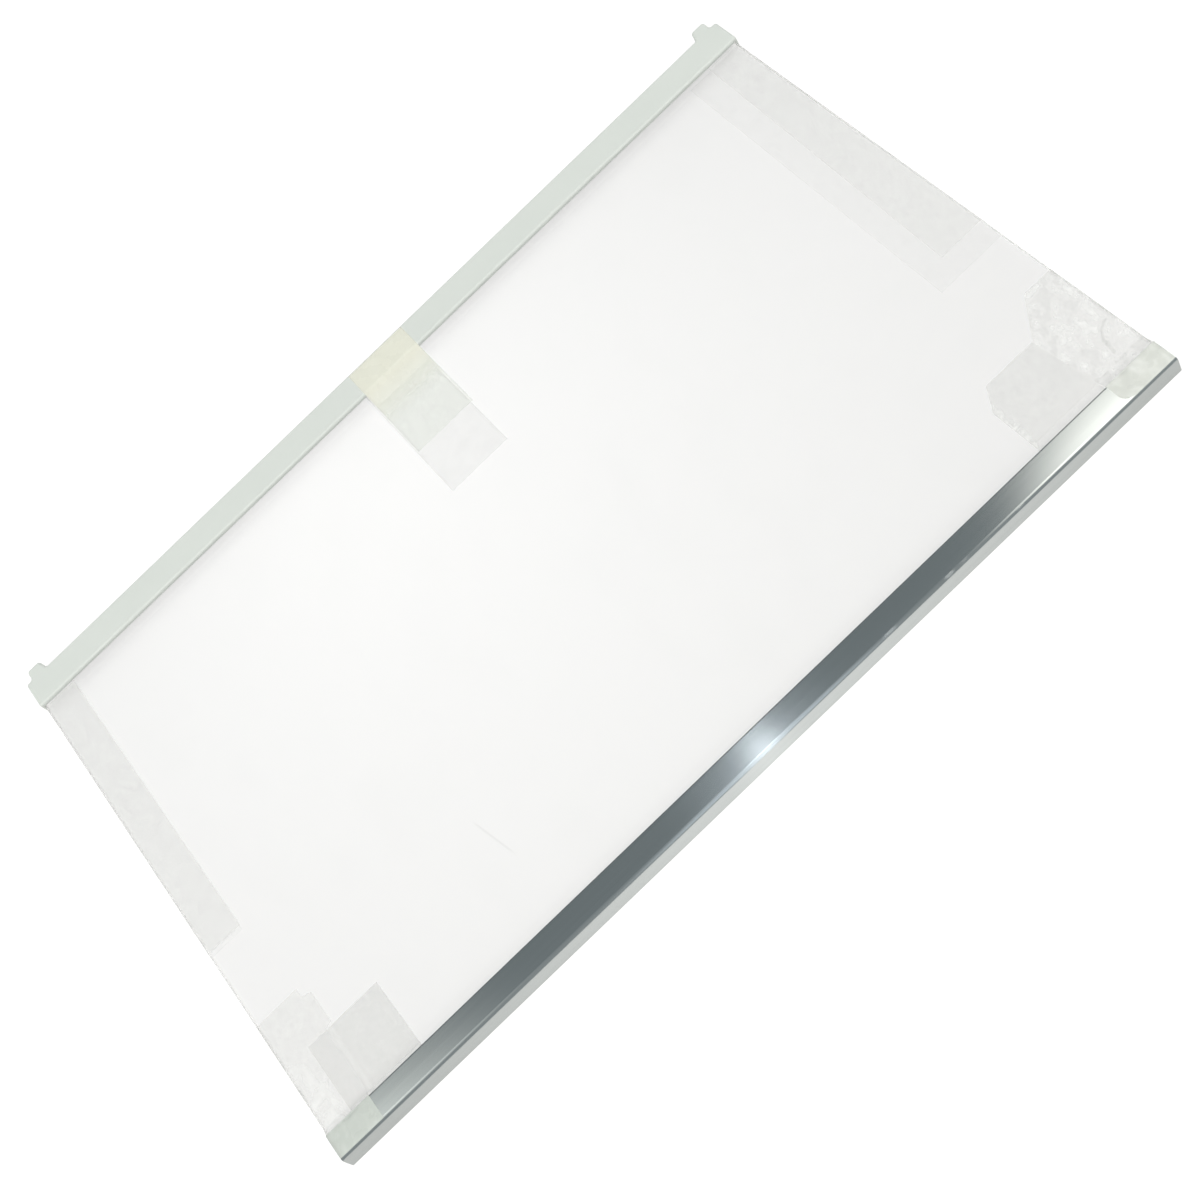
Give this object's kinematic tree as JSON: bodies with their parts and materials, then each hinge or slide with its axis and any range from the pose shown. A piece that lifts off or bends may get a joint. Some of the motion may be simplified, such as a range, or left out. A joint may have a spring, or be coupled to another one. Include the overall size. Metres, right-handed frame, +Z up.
{
  "type": "fridge glass shelf",
  "caption": "Flat clear glass fridge shelf with a brushed metal profile along its front edge and a lugged plastic trim along its rear edge.",
  "frame": {"origin": "middle of the shelf's box at the underside of its trims", "axes": "+X along the shelf, +Y from the front profile to the rear trim, +Z up"},
  "size_m": [0.478, 0.325, 0.0105],
  "materials": {
    "glass": "clear, polished, ground edges",
    "brushed_metal": "brushed along its length",
    "pale_plastic": "fine satin moulded"
  },
  "bodies": {
    "root": {"glass_panel": "glass", "front_trim": "brushed_metal", "rear_trim": "pale_plastic"}
  },
  "joints": []
}
